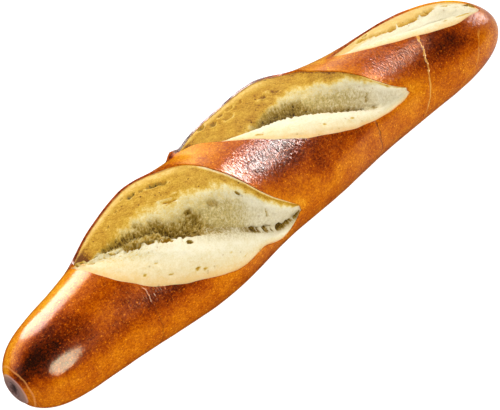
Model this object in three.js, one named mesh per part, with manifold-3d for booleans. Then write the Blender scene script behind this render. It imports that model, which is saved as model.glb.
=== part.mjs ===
// A lye-baked bread stick: one loaf with a round, glossy crust, lying on its flat underside.
// Three slanting scores opened on its top as it baked. Each one shows a low shelf of crumb,
// a deep slit and a broad torn wall that climbs to a raised lip of crust.
// Millimetres. X runs from the near end to the far end, Z is up, and the origin is under
// the middle of the loaf, on the face that it rests on.
import * as THREE from "three";
import { mergeVertices } from "three/addons/utils/BufferGeometryUtils.js";
import Module from "manifold-3d";

// Sizes of the loaf
const LENGTH = 205;
const NEAR_HALF_WIDTH = 15.1;
const FAR_HALF_WIDTH = 17.9;
const SWELLINGS = [
  { x: -33, rise: 6.2 },
  { x: 18, rise: 3.7 },
];
const SWELLING_LENGTH = 28;
const HEIGHT_PER_WIDTH = 0.9;
const AXIS_HEIGHT = 0.86;
const NEAR_END_POWER = 12;
const FAR_END_POWER = 6.5;
const END_ROUNDNESS = 1.84;
const BOW = -3.8;
const SWAY = 5.2;

// Scores: each lip and each slit is a curve over the crust through points of [x, turn],
// where turn is the angle in degrees round the loaf, from 0 at the top towards -Y
const SCORES = [
  {
    start: [-65, -62],
    lowerLip: [[-65, -38], [-62, 0], [-54, 36], [-41, 60], [-26, 79], [-16, 79], [-7, 92]],
    slit: [[-57, -42], [-48, -10], [-37, 22], [-24, 49], [-10, 69]],
    upperLip: [[-60, -68], [-43, -69], [-28, -62], [-20, -36], [-14, 0], [-8, 36], [-2, 59]],
    end: [2, 72],
    shelfDrop: 3.5,
    depth: 9,
    ear: { rise: 2.7, middle: 0.22, halfLength: 0.18 },
  },
  {
    start: [-18, -59],
    lowerLip: [[-11, -46], [-2, -19], [10, 15], [24, 37], [38, 51], [51, 55]],
    slit: [[-9, -46], [5, -23], [18, 0], [32, 27], [44, 46]],
    upperLip: [[-14, -62], [1, -65], [19, -63], [33, -59], [36, -32], [43, -3], [51, 32]],
    end: [57, 48],
    shelfDrop: 3.5,
    depth: 9,
    ear: { rise: 5.2, middle: 0.27, halfLength: 0.23 },
  },
  {
    start: [45, -40],
    lowerLip: [[52, -22], [65, -3], [78, 11], [86, 14], [94, 9]],
    slit: [[55, -37], [65, -27], [76, -14], [88, -8]],
    upperLip: [[52, -48], [64, -58], [78, -58], [89, -50], [96, -36]],
    end: [98, 2],
    shelfDrop: 2.5,
    depth: 6,
    ear: { rise: 0.5, middle: 0.5, halfLength: 0.3 },
  },
];
const EAR_REACH = 8;
const UPPER_STEP = 0.8;
const LOWER_STEP = 0.35;
const SKIN_RADIUS = 20;
const CUT_CLEARANCE = 9;
const SCORE_TIP = 0.03;
const TIP_BLUNTNESS = 0.6;

// Across a score: places from lower lip to slit with the share of the shelf's drop, then
// places from slit to upper lip with the share of the wall's climb
const SHELF = [[0, 0], [0.35, 0.12], [0.7, 0.45], [1, 1]];
const WALL = [[0.1, 0], [0.32, 0.2], [0.56, 0.47], [0.8, 0.77], [1, 1]];

// Fineness of the facets
const LOAF_RINGS = 84;
const LOAF_SIDES = 44;
const SCORE_STEPS = 24;
const LIP_SAMPLES = 48;

const CRUST = new THREE.MeshStandardMaterial({
  name: "crust",
  color: 0x8a4413,
  roughness: 0.35,
  metalness: 0,
});

// The loaf's section at x: its half width, half height, sideways middle and axis height
function sectionAt(x) {
  const place = THREE.MathUtils.clamp((2 * x) / LENGTH, -1, 1);
  let width = THREE.MathUtils.lerp(NEAR_HALF_WIDTH, FAR_HALF_WIDTH, (place + 1) / 2);
  for (const swelling of SWELLINGS) {
    width += swelling.rise * Math.exp(-(((x - swelling.x) / SWELLING_LENGTH) ** 2));
  }
  const power = place < 0 ? NEAR_END_POWER : FAR_END_POWER;
  const end = (1 - Math.abs(place) ** power) ** (1 / END_ROUNDNESS);
  return {
    halfWidth: width * end,
    halfHeight: width * end * HEIGHT_PER_WIDTH,
    middle: BOW * Math.abs(place) ** 3 + SWAY * (place - place ** 3),
    axisHeight: width * HEIGHT_PER_WIDTH * AXIS_HEIGHT,
  };
}

// A point at x and at a distance round the skin from its top line, raised above the skin
function pointOverLoaf(x, round, rise) {
  const section = sectionAt(x);
  const angle = round / SKIN_RADIUS;
  const y = section.middle - (section.halfWidth + rise) * Math.sin(angle);
  const z = section.axisHeight + (section.halfHeight + rise) * Math.cos(angle);
  return new THREE.Vector3(x, y, z);
}

// A lip or slit of a score as a curve of x and distance round the skin
function skinCurve(score, points) {
  const places = [score.start, ...points, score.end];
  return new THREE.SplineCurve(
    places.map(([x, turn]) => new THREE.Vector2(x, THREE.MathUtils.degToRad(turn) * SKIN_RADIUS)),
  );
}

// How far the crust stands up at a share of the length of a score's upper lip
function earRise(score, share) {
  const { rise, middle, halfLength } = score.ear;
  return rise * Math.exp(-(((share - middle) / halfLength) ** 4));
}

// How far the skin at a place is lifted by the ears near it
function skinRise(place, lips) {
  let rise = 0;
  for (const lip of lips) {
    let nearest = Infinity;
    let share = 0;
    lip.samples.forEach((sample, index) => {
      const distance = sample.distanceTo(place);
      if (distance < nearest) {
        nearest = distance;
        share = index / LIP_SAMPLES;
      }
    });
    rise += earRise(lip.score, share) * Math.exp(-((nearest / EAR_REACH) ** 2));
  }
  return rise;
}

// The whole loaf before it is scored: a sphere stretched along X, its underside laid flat
function loafGeometry() {
  const lips = SCORES.map((score) => ({
    score,
    samples: skinCurve(score, score.upperLip).getSpacedPoints(LIP_SAMPLES),
  }));
  const geometry = new THREE.SphereGeometry(1, LOAF_SIDES, LOAF_RINGS);
  geometry.deleteAttribute("normal");
  geometry.deleteAttribute("uv");
  const position = geometry.attributes.position;
  const onSphere = new THREE.Vector3();
  for (let i = 0; i < position.count; i += 1) {
    onSphere.fromBufferAttribute(position, i);
    const latitude = Math.asin(THREE.MathUtils.clamp(onSphere.y, -1, 1));
    const x = (LENGTH / 4) * (latitude / (Math.PI / 2) + onSphere.y);
    const round = Math.atan2(-onSphere.z, onSphere.x) * SKIN_RADIUS;
    const isTip = Math.abs(x) > LENGTH / 2 - 1e-6;
    const rise = isTip ? 0 : skinRise(new THREE.Vector2(x, round), lips);
    const point = pointOverLoaf(x, round, rise);
    position.setXYZ(i, point.x, point.y, Math.max(point.z, 0));
  }
  return mergeVertices(geometry, 1e-4);
}

// The outline of what a score takes away, at a share of its length
function scoreSection(score, curves, share) {
  const lower = curves.lower.getPointAt(share);
  const slit = curves.slit.getPointAt(share);
  const upper = curves.upper.getPointAt(share);
  const opening = Math.sin(Math.PI * share) ** TIP_BLUNTNESS;
  const shelfEdge = -LOWER_STEP - score.shelfDrop * opening;
  const bottom = -UPPER_STEP - score.depth * opening;
  const top = earRise(score, share) - UPPER_STEP;
  const section = [];
  for (const [place, drop] of SHELF) {
    const at = lower.clone().lerp(slit, place);
    const rise = THREE.MathUtils.lerp(-LOWER_STEP, shelfEdge, drop);
    section.push(pointOverLoaf(at.x, at.y, rise));
  }
  for (const [place, climb] of WALL) {
    const at = slit.clone().lerp(upper, place);
    const rise = THREE.MathUtils.lerp(bottom, top, climb);
    section.push(pointOverLoaf(at.x, at.y, rise));
  }
  for (const at of [upper, slit, lower]) {
    section.push(pointOverLoaf(at.x, at.y, CUT_CLEARANCE));
  }
  return section;
}

// The space that a score opens, as a closed skin over its sections
function scoreGeometry(score) {
  const curves = {
    lower: skinCurve(score, score.lowerLip),
    slit: skinCurve(score, score.slit),
    upper: skinCurve(score, score.upperLip),
  };
  const sections = [];
  for (let step = 0; step <= SCORE_STEPS; step += 1) {
    const share = THREE.MathUtils.lerp(SCORE_TIP, 1 - SCORE_TIP, step / SCORE_STEPS);
    sections.push(scoreSection(score, curves, share));
  }
  const around = sections[0].length;
  const faces = [];
  for (let step = 0; step < SCORE_STEPS; step += 1) {
    for (let i = 0; i < around; i += 1) {
      const near = step * around + i;
      const nearNext = step * around + ((i + 1) % around);
      faces.push(near, nearNext, nearNext + around);
      faces.push(near, nearNext + around, near + around);
    }
  }
  const last = SCORE_STEPS * around;
  for (let i = 1; i < around - 1; i += 1) {
    faces.push(0, i + 1, i);
    faces.push(last, last + i, last + i + 1);
  }
  const geometry = new THREE.BufferGeometry().setFromPoints(sections.flat());
  geometry.setIndex(faces);
  return geometry;
}

const wasm = await Module();
wasm.setup();

function solidFrom(geometry) {
  return new wasm.Manifold(
    new wasm.Mesh({
      numProp: 3,
      vertProperties: new Float32Array(geometry.attributes.position.array),
      triVerts: new Uint32Array(geometry.index.array),
    }),
  );
}

function geometryFrom(solid) {
  const mesh = solid.getMesh();
  const geometry = new THREE.BufferGeometry();
  geometry.setAttribute("position", new THREE.BufferAttribute(mesh.vertProperties, 3));
  geometry.setIndex(new THREE.BufferAttribute(mesh.triVerts, 1));
  geometry.computeVertexNormals();
  return geometry;
}

let loaf = solidFrom(loafGeometry());
for (const score of SCORES) {
  loaf = loaf.subtract(solidFrom(scoreGeometry(score)));
}

const stick = new THREE.Mesh(geometryFrom(loaf), CRUST);
stick.name = "pretzel_stick";

const part = new THREE.Group();
part.name = "pretzel_stick_part";
part.add(stick);

export default part;
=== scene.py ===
import math
from types import SimpleNamespace

import bmesh
import bpy
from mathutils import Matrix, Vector, geometry, kdtree, noise


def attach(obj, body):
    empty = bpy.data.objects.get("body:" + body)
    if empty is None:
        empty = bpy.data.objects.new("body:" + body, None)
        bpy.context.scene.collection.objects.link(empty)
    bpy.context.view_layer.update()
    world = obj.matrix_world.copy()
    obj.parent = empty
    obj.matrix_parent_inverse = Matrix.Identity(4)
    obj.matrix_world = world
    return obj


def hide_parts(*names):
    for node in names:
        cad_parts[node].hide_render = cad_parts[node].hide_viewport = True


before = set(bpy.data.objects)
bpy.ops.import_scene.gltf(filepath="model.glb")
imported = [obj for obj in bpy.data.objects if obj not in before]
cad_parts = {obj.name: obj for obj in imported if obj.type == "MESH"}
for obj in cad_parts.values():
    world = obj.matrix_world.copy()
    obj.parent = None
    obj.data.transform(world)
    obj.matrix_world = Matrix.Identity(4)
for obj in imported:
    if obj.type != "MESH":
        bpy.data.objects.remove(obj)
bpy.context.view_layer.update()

# The loaf: one roll of wheat dough, rolled out by hand, dipped in lye and baked on a flat tray.
# Its thin crust is glossy and brown, and its underside lies flat where the tray held it.
# Sizes are in millimetres, and every mesh goes into metres as its points are placed.
METRES = 0.001
LENGTH = 205.0
NEAR_HALF_WIDTH = 15.1
FAR_HALF_WIDTH = 17.9
SWELLINGS = [{"x": -33.0, "rise": 6.2}, {"x": 18.0, "rise": 3.7}]
SWELLING_LENGTH = 28.0
HEIGHT_PER_WIDTH = 0.9
AXIS_HEIGHT = 0.86
NEAR_END_POWER = 12.0
FAR_END_POWER = 6.5
END_ROUNDNESS = 1.84
BOW = -3.8
SWAY = 5.2
SKIN_RADIUS = 20.0
BASE_ROUNDING = 0.8
SWELL = {"size": 22.0, "depth": 0.3}
DIMPLES = {"size": 5.0, "depth": 0.07}
TIP_GROOVE = {"from_end": 1.7, "width": 0.6, "depth": 0.35}
TIP_HOLLOW = {"above": 0.8, "length": 3.0, "reach": 2.2, "depth": 1.4}
LOAF_SIDES = 144
LOAF_RINGS = 300
RING_EVENNESS = 0.4

# Zones of the crust are rows of x, turn, half length, half breadth in degrees, and gain
BULGES = [(-86.0, 36.0, 13.0, 30.0, 0.5), (-16.4, -65.0, 2.0, 9.0, 1.6)]

# The crust stands up as an ear along the upper lip of each score. A lip is a curve over the crust
# through points of [x, turn], where turn is the angle in degrees round the loaf, from 0 at the
# top towards -Y. The ear is highest about a middle share of the lip's length.
EARS = [
    {
        "start": [-65, -62],
        "upper_lip": [[-60, -68], [-43, -69], [-28, -62], [-20, -36], [-14, 0], [-8, 36], [-2, 59]],
        "end": [2, 72],
        "rise": 2.7,
        "middle": 0.22,
        "half_length": 0.18,
    },
    {
        "start": [-18, -59],
        "upper_lip": [[-14, -62], [1, -65], [19, -63], [33, -59], [36, -32], [43, -3], [51, 32]],
        "end": [57, 48],
        "rise": 5.2,
        "middle": 0.27,
        "half_length": 0.23,
    },
    {
        "start": [45, -40],
        "upper_lip": [[52, -48], [64, -58], [78, -58], [89, -50], [96, -36]],
        "end": [98, 2],
        "rise": 0.5,
        "middle": 0.5,
        "half_length": 0.3,
    },
]
EAR_REACH = 8.0
LIP_SAMPLES = 600
CURVE_FINENESS = 24


def mix(low, high, share):
    return low + (high - low) * share


def smooth_step(low, high, value):
    share = min(max((value - low) / (high - low), 0.0), 1.0)
    return share * share * (3 - 2 * share)


def bell(value, middle, half_length):
    return math.exp(-(((value - middle) / half_length) ** 2))


def section_at(x):
    """The loaf's section at x: half width, half height, sideways middle and axis height."""
    place = min(max(2 * x / LENGTH, -1.0), 1.0)
    width = mix(NEAR_HALF_WIDTH, FAR_HALF_WIDTH, (place + 1) / 2)
    width += sum(swelling["rise"] * bell(x, swelling["x"], SWELLING_LENGTH) for swelling in SWELLINGS)
    power = NEAR_END_POWER if place < 0 else FAR_END_POWER
    end = (1 - abs(place) ** power) ** (1 / END_ROUNDNESS)
    middle = BOW * abs(place) ** 3 + SWAY * (place - place ** 3)
    return width * end, width * end * HEIGHT_PER_WIDTH, middle, width * HEIGHT_PER_WIDTH * AXIS_HEIGHT


def point_over_loaf(x, round_skin, rise):
    """A point at x and at a distance round the skin from its top line, raised above the skin."""
    half_width, half_height, middle, axis_height = section_at(x)
    angle = round_skin / SKIN_RADIUS
    y = middle - (half_width + rise) * math.sin(angle)
    z = axis_height + (half_height + rise) * math.cos(angle)
    return Vector((x, y, z))


def skin_curve(score, line, steps):
    """A lip or slit as evenly spaced points of x and distance round the skin."""
    knots = [score["start"], *score[line], score["end"]]
    knots = [Vector((x, math.radians(turn) * SKIN_RADIUS, 0)) for x, turn in knots]
    ends = [knots[0], *knots, knots[-1]]
    fine = [knots[0]]
    for before, here, there, after in zip(ends, ends[1:], ends[2:], ends[3:]):
        leave = here + (there - before) / 6
        arrive = there - (after - here) / 6
        fine += geometry.interpolate_bezier(here, leave, arrive, there, CURVE_FINENESS)[1:]
    lengths = [0.0]
    for here, there in zip(fine, fine[1:]):
        lengths.append(lengths[-1] + (there - here).length)
    even = []
    at = 0
    for step in range(steps + 1):
        wanted = lengths[-1] * step / steps
        while at < len(fine) - 2 and lengths[at + 1] < wanted:
            at += 1
        share = (wanted - lengths[at]) / (lengths[at + 1] - lengths[at])
        even.append(fine[at].lerp(fine[at + 1], share).to_2d())
    return even


def ear_rise(ear, share):
    return ear["rise"] * math.exp(-(((share - ear["middle"]) / ear["half_length"]) ** 4))


for ear in EARS:
    ear["lip_line"] = kdtree.KDTree(LIP_SAMPLES + 1)
    for step, lip in enumerate(skin_curve(ear, "upper_lip", LIP_SAMPLES)):
        ear["lip_line"].insert(lip.to_3d(), step)
    ear["lip_line"].balance()


def zone_sum(zones, x, turn):
    """How strongly a list of zones acts at a place on the crust."""
    total = 0.0
    for its_x, its_turn, length, breadth, gain in zones:
        total += gain * bell(x, its_x, length) * bell(turn, its_turn, breadth)
    return total


def crust_rise(x, round_skin):
    """How far the crust is lifted at a place by ears and bulges, or let in by the groove at the tip."""
    rise = 0.0
    for ear in EARS:
        step, distance = ear["lip_line"].find((x, round_skin, 0))[1:]
        rise += ear_rise(ear, step / LIP_SAMPLES) * bell(distance, 0.0, EAR_REACH)
    rise += zone_sum(BULGES, x, math.degrees(round_skin / SKIN_RADIUS))
    return rise - TIP_GROOVE["depth"] * bell(LENGTH / 2 + x, TIP_GROOVE["from_end"], TIP_GROOVE["width"])


def laid_flat(z):
    """A height with everything under the tray's face brought up to it, over a small rounding."""
    blend = max(BASE_ROUNDING - abs(z), 0.0) / BASE_ROUNDING
    return max(z, 0.0) + blend * blend * BASE_ROUNDING / 4


loaf_shape = bmesh.new()
bmesh.ops.create_uvsphere(loaf_shape, u_segments=LOAF_SIDES, v_segments=LOAF_RINGS, radius=1)
for vert in loaf_shape.verts:
    latitude = math.asin(min(max(vert.co.z, -1.0), 1.0))
    x = LENGTH / 2 * mix(vert.co.z, latitude / (math.pi / 2), RING_EVENNESS)
    round_skin = math.atan2(vert.co.y, vert.co.x) * SKIN_RADIUS
    middle_line = Vector((x, section_at(x)[2], section_at(x)[3]))
    if abs(x) > LENGTH / 2 - 1e-6:
        point = point_over_loaf(x, round_skin, 0.0)
    else:
        point = point_over_loaf(x, round_skin, crust_rise(x, round_skin))
        uneven = noise.noise(point / SWELL["size"]) * SWELL["depth"]
        uneven += noise.noise(point / DIMPLES["size"]) * DIMPLES["depth"]
        point += (point - middle_line).normalized() * uneven
    off_axis = math.hypot(point.y - middle_line.y, point.z - middle_line.z - TIP_HOLLOW["above"])
    hollowed = bell(off_axis, 0.0, TIP_HOLLOW["reach"]) * bell(LENGTH / 2 + x, 0.0, TIP_HOLLOW["length"])
    point.x += TIP_HOLLOW["depth"] * hollowed
    point.z = laid_flat(point.z)
    vert.co = point * METRES
bmesh.ops.recalc_face_normals(loaf_shape, faces=loaf_shape.faces)


def mesh_from(shape, name):
    mesh = bpy.data.meshes.new(name)
    shape.to_mesh(mesh)
    shape.free()
    return mesh


loaf_mesh = mesh_from(loaf_shape, "loaf")


def set_input(tree, socket, value):
    """Links an input to a socket, or sets it to a plain value."""
    if isinstance(value, bpy.types.NodeSocket):
        tree.links.new(value, socket)
    else:
        socket.default_value = value


def add_node(tree, kind, settings=None, **inputs):
    """A node of a kind with its settings and inputs, where _0, _1 and so on are inputs by number."""
    node = tree.nodes.new("ShaderNode" + kind)
    for name, value in (settings or {}).items():
        setattr(node, name, value)
    for name, value in inputs.items():
        key = int(name[1:]) if name[0] == "_" else name.replace("_", " ")
        set_input(tree, node.inputs[key], value)
    return node


def math_node(tree, operation, *values):
    inputs = {f"_{index}": value for index, value in enumerate(values)}
    return add_node(tree, "Math", {"operation": operation}, **inputs).outputs[0]


def multiply(tree, first, second):
    return math_node(tree, "MULTIPLY", first, second)


def multiply_add(tree, value, factor, base):
    return math_node(tree, "MULTIPLY_ADD", value, factor, base)


def attribute(tree, name):
    return add_node(tree, "Attribute", {"attribute_name": name}).outputs["Fac"]


def in_millimetres(tree):
    """The piece's own coordinates, in millimetres."""
    in_metres = add_node(tree, "TexCoord").outputs["Object"]
    return add_node(tree, "Mapping", None, Vector=in_metres, Scale=(1 / METRES,) * 3).outputs["Vector"]


def noise_node(tree, vector, scale, detail, roughness=0.5):
    node = add_node(tree, "TexNoise", None, Vector=vector, Scale=scale, Detail=detail, Roughness=roughness)
    return node.outputs["Fac"]


def centred(tree, value, swing):
    """A value of 0 to 1 turned into one that swings as far below 0 as above it."""
    return multiply_add(tree, value, 2 * swing, -swing)


def stretched(tree, first, first_scale, second, second_scale):
    """Coordinates made of two values, each drawn out or packed by its own scale."""
    first = multiply(tree, first, first_scale)
    second = multiply(tree, second, second_scale)
    return add_node(tree, "CombineXYZ", None, X=first, Y=second).outputs[0]


def colour_stops(tree, value, stops):
    ramp = add_node(tree, "ValToRGB", None, Fac=value)
    elements = ramp.color_ramp.elements
    while len(elements) < len(stops):
        elements.new(0.5)
    for element, (position, colour) in zip(elements, stops):
        element.position = position
        element.color = (*colour, 1)
    return ramp.outputs["Color"]


def map_range(tree, value, low, high, to_low=0.0, to_high=1.0):
    """A value eased from low to high into another range. Low may be the greater one."""
    inputs = {"Value": value, "From_Min": low, "From_Max": high, "To_Min": to_low, "To_Max": to_high}
    return add_node(tree, "MapRange", {"interpolation_type": "SMOOTHSTEP"}, **inputs).outputs["Result"]


def blend(tree, share, first, second):
    """A colour that goes from the first to the second by a share."""
    node = add_node(tree, "Mix", {"data_type": "RGBA"})
    for name, value in (("Factor", share), ("A", first), ("B", second)):
        socket = next(socket for socket in node.inputs if socket.name == name and socket.enabled)
        set_input(tree, socket, value)
    return next(socket for socket in node.outputs if socket.enabled)


# Small round dots, of which only a share is drawn, for flecks on the crust and pores in the crumb
SMALLEST_DOT = 0.4
DOT_CORE = 0.35
speckle = bpy.data.node_groups.new("speckle", "ShaderNodeTree")
speckle.interface.new_socket("Vector", in_out="INPUT", socket_type="NodeSocketVector")
for name in ("Scale", "Reach", "Share"):
    speckle.interface.new_socket(name, in_out="INPUT", socket_type="NodeSocketFloat")
speckle.interface.new_socket("Dots", in_out="OUTPUT", socket_type="NodeSocketFloat")
given = speckle.nodes.new("NodeGroupInput").outputs
cells = add_node(speckle, "TexVoronoi", None, Vector=given["Vector"], Scale=given["Scale"])
lot = add_node(speckle, "SeparateColor", None, Color=cells.outputs["Color"])
drawn = math_node(speckle, "LESS_THAN", lot.outputs["Red"], given["Share"])
size = math_node(speckle, "ADD", lot.outputs["Green"], SMALLEST_DOT)
reach = multiply(speckle, given["Reach"], size)
core = multiply(speckle, reach, DOT_CORE)
dot = map_range(speckle, cells.outputs["Distance"], reach, core)
group_end = speckle.nodes.new("NodeGroupOutput")
speckle.links.new(multiply(speckle, dot, drawn), group_end.inputs["Dots"])


def dots_node(tree, vector, scale, reach, share):
    inputs = {"Vector": vector, "Scale": scale, "Reach": reach, "Share": share}
    return add_node(tree, "Group", {"node_tree": speckle}, **inputs).outputs["Dots"]


CRUST_COLOURS = [
    (0.06, (0.95, 0.52, 0.03)),
    (0.34, (0.73, 0.245, 0.001)),
    (0.58, (0.46, 0.09, 0.0005)),
    (0.80, (0.18, 0.024, 0.0005)),
    (1.0, (0.03, 0.006, 0.002)),
]
FLECK_COLOUR = (0.90, 0.44, 0.05, 1)
PALE_CRACK_COLOUR = (0.86, 0.46, 0.08, 1)
# Painted shade for the dark cracks
CRACK_SHADE_COLOUR = (0.14, 0.02, 0.002, 1)
# Painted sheen on the end disc and painted highlight on its rim
END_DISC_SHEEN_COLOUR = (0.31, 0.22, 0.205, 1)
END_RIM_HIGHLIGHT_COLOUR = (0.62, 0.40, 0.33, 1)
END_LINE_COLOUR = (0.80, 0.36, 0.10, 1)
END_LINE = {"from_end": 2.4, "wander": 0.8, "half_width": 0.3, "core": 0.08, "strength": 0.6}
MOTTLE_SWING = 0.25
GRAIN_SWING = 0.58
PALE_SPOTS = -0.24
CRACK_WANDER = 2.8
CRACK_DEPTH = -0.12
WRINKLE_DEPTH = 0.3
PLAIN_DEPTH = 0.01
PIMPLE_DEPTH = 0.022
MATT_ROUGHNESS = 0.4

crust = bpy.data.materials.new("crust")
crust.use_nodes = True
tree = crust.node_tree
shader = tree.nodes["Principled BSDF"]
in_mm = in_millimetres(tree)
x_mm = add_node(tree, "SeparateXYZ", None, Vector=in_mm).outputs["X"]
turn_degrees = attribute(tree, "turn")
mottle = centred(tree, noise_node(tree, in_mm, 0.16, 5, 0.6), MOTTLE_SWING)
grain = centred(tree, noise_node(tree, in_mm, 1.4, 5, 0.85), GRAIN_SWING)
# The baked value carries painted shade and a painted sheen besides the browning
bake_and_light_level = math_node(tree, "ADD", attribute(tree, "bake_and_painted_light"), mottle)
bake_and_light_level = math_node(tree, "ADD", bake_and_light_level, grain)
spots = dots_node(tree, in_mm, scale=1.2, reach=0.36, share=0.3)
bake_and_light_level = multiply_add(tree, spots, PALE_SPOTS, bake_and_light_level)
painted = colour_stops(tree, bake_and_light_level, CRUST_COLOURS)


def crack_line(x_at_top, slope, from_turn, to_turn, half_width):
    """A fine crack round the crust, from one turn to another, leaning by a slope in mm for each degree."""
    wander = noise_node(tree, in_mm, 0.3, 4, 0.6)
    line = multiply_add(tree, turn_degrees, slope, x_at_top - CRACK_WANDER / 2)
    line = multiply_add(tree, wander, CRACK_WANDER, line)
    off = math_node(tree, "ABSOLUTE", math_node(tree, "SUBTRACT", x_mm, line))
    uneven = noise_node(tree, in_mm, 0.45, 3)
    width = map_range(tree, uneven, 0.3, 0.7, half_width * 0.3, half_width * 1.5)
    near = map_range(tree, off, width, multiply(tree, width, 0.2))
    starts = map_range(tree, turn_degrees, from_turn - 3, from_turn + 3)
    ends = map_range(tree, turn_degrees, to_turn + 10, to_turn - 14)
    return multiply(tree, multiply(tree, near, starts), ends)


pale_crack = crack_line(x_at_top=70.8, slope=-0.125, from_turn=1, to_turn=92, half_width=0.55)
faint_crack = crack_line(x_at_top=95.0, slope=-0.144, from_turn=36, to_turn=84, half_width=0.5)
dark_crack = crack_line(x_at_top=38.5, slope=0.0, from_turn=47, to_turn=90, half_width=0.4)
ring_crack = crack_line(x_at_top=-56.3, slope=-0.015, from_turn=27, to_turn=112, half_width=0.4)
# Painted shade fills the dark cracks, as it would lie in their narrow grooves; the pale ones show the crumb
shaded_cracks = math_node(tree, "MAXIMUM", dark_crack, multiply(tree, ring_crack, 0.5))
on_brown = map_range(tree, bake_and_light_level, 0.3, 0.7, 0.15, 0.4)
off_black = map_range(tree, bake_and_light_level, 1.0, 0.65, 0.1, 1.0)
flecks = dots_node(tree, in_mm, scale=2.0, reach=0.34, share=0.4)
flecks = multiply(tree, flecks, multiply(tree, on_brown, off_black))
painted = blend(tree, flecks, painted, FLECK_COLOUR)
painted = blend(tree, multiply(tree, pale_crack, 0.75), painted, PALE_CRACK_COLOUR)
painted = blend(tree, multiply(tree, faint_crack, 0.35), painted, PALE_CRACK_COLOUR)
# Painted shade in the dark cracks
painted = blend(tree, multiply(tree, shaded_cracks, 0.6), painted, CRACK_SHADE_COLOUR)

# The near tip: a flat disc where the roll was cut, painted with a grey sheen and a pale rim of painted
# highlight, and a fine line just behind it
end_disc = attribute(tree, "disc")
disc_sheen_share = multiply(tree, end_disc, map_range(tree, bake_and_light_level, 1.0, 0.7, 0.2, 0.85))
painted = blend(tree, disc_sheen_share, painted, END_DISC_SHEEN_COLOUR)
rim_inside = map_range(tree, end_disc, 0.95, 0.5)
end_rim_highlight = multiply(tree, map_range(tree, end_disc, 0.05, 0.5), rim_inside)
painted = blend(tree, multiply(tree, end_rim_highlight, 0.7), painted, END_RIM_HIGHLIGHT_COLOUR)
line_place = END_LINE["from_end"] - LENGTH / 2
end_line = multiply_add(tree, noise_node(tree, in_mm, 0.2, 3), END_LINE["wander"], line_place)
off_line = math_node(tree, "ABSOLUTE", math_node(tree, "SUBTRACT", x_mm, end_line))
line_share = map_range(tree, off_line, END_LINE["half_width"], END_LINE["core"], 0.0, END_LINE["strength"])
painted = blend(tree, line_share, painted, END_LINE_COLOUR)
tree.links.new(painted, shader.inputs["Base Color"])

# Wrinkles run round the loaf, so they are packed along it and drawn out by the turn
wrinkles = noise_node(tree, stretched(tree, x_mm, 1.9, turn_degrees, 0.22), 1.0, 1)
wrinkle_depth = multiply_add(tree, attribute(tree, "wrinkle"), WRINKLE_DEPTH, PLAIN_DEPTH)
pimples = multiply(tree, noise_node(tree, in_mm, 1.2, 2), PIMPLE_DEPTH)
height = multiply_add(tree, wrinkles, wrinkle_depth, pimples)
cracks = math_node(tree, "ADD", shaded_cracks, pale_crack)
height = multiply_add(tree, cracks, CRACK_DEPTH, height)
bump = add_node(tree, "Bump", None, Strength=1.0, Distance=METRES, Height=height)
tree.links.new(bump.outputs["Normal"], shader.inputs["Normal"])
gloss = map_range(tree, noise_node(tree, in_mm, 0.5, 3), 0.2, 0.8, 0.12, 0.2)
roughness = multiply_add(tree, attribute(tree, "matt"), MATT_ROUGHNESS, gloss)
tree.links.new(roughness, shader.inputs["Roughness"])
shader.inputs["Specular Tint"].default_value = (1, 0.98, 0.95, 1)
loaf_mesh.materials.append(crust)

# The scores: three slanting cuts that opened as the loaf rose. Each shows its crumb, a low pale
# shelf, a slit darkened with painted shade and a broad wall that is toasted at the top and torn and woolly
# lower down.
# They are cut out of the loaf, so the stick stays one closed mesh.
LOWER_STEP = 0.35
UPPER_STEP = 0.6
CUT_CLEARANCE = 9.0
SCORE_TIP = 0.02
TIP_BLUNTNESS = 0.6
SHELF_COLUMNS = 0.34
SLIT_COLUMNS = 0.44
SLIT_WIDTH = 0.1
SLIT_BREADTH = 2.0
SHELF_BEND = 2.0
WALL_BEND = 1.12
UNDERCUT = 0.9
DARK_DEPTH = 1.4
LIP_WOBBLE = {"size": 5.0, "reach": 0.3, "lower_lane": 7.3, "upper_lane": 2.9}
FRINGES = [{"size": 1.1, "reach": 0.8, "lane": 4.2}, {"size": 0.55, "reach": 0.7, "lane": 9.1}]
STRANDS = {"size": 1.1, "lane": 6.6}
FRAYING = {"size": 3.5, "lane": 1.7}
WISPS = {"length": 1.3, "breadth": 2.2, "lane": 8.2}
HOLES = [
    {"size": 1.5, "packing": 14, "gain": 1.0, "lane": 1.1},
    {"size": 0.6, "packing": 6, "gain": 0.5, "lane": 5.1},
]
STREAKS = {"length": 9.0, "breadth": 1.2, "depth": 0.15, "lane": 3.1}
BLISTERS = {"size": 1.5, "depth": 0.15}
LUMPS = {"size": 7.0, "depth": 0.5}
WOOL = {"size": 0.9, "depth": 0.22}
BUBBLES = {"size": 1.15, "bend": 0.4, "bend_size": 1.1, "seed": 11}
RAGGED_SIZE = 1.3
SMALL_HOLLOW = 1.0
FAR_OFF = 1.6

# The noise that bends the bubbles is seeded, so every run makes the same crumb
noise.seed_set(BUBBLES["seed"])
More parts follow.
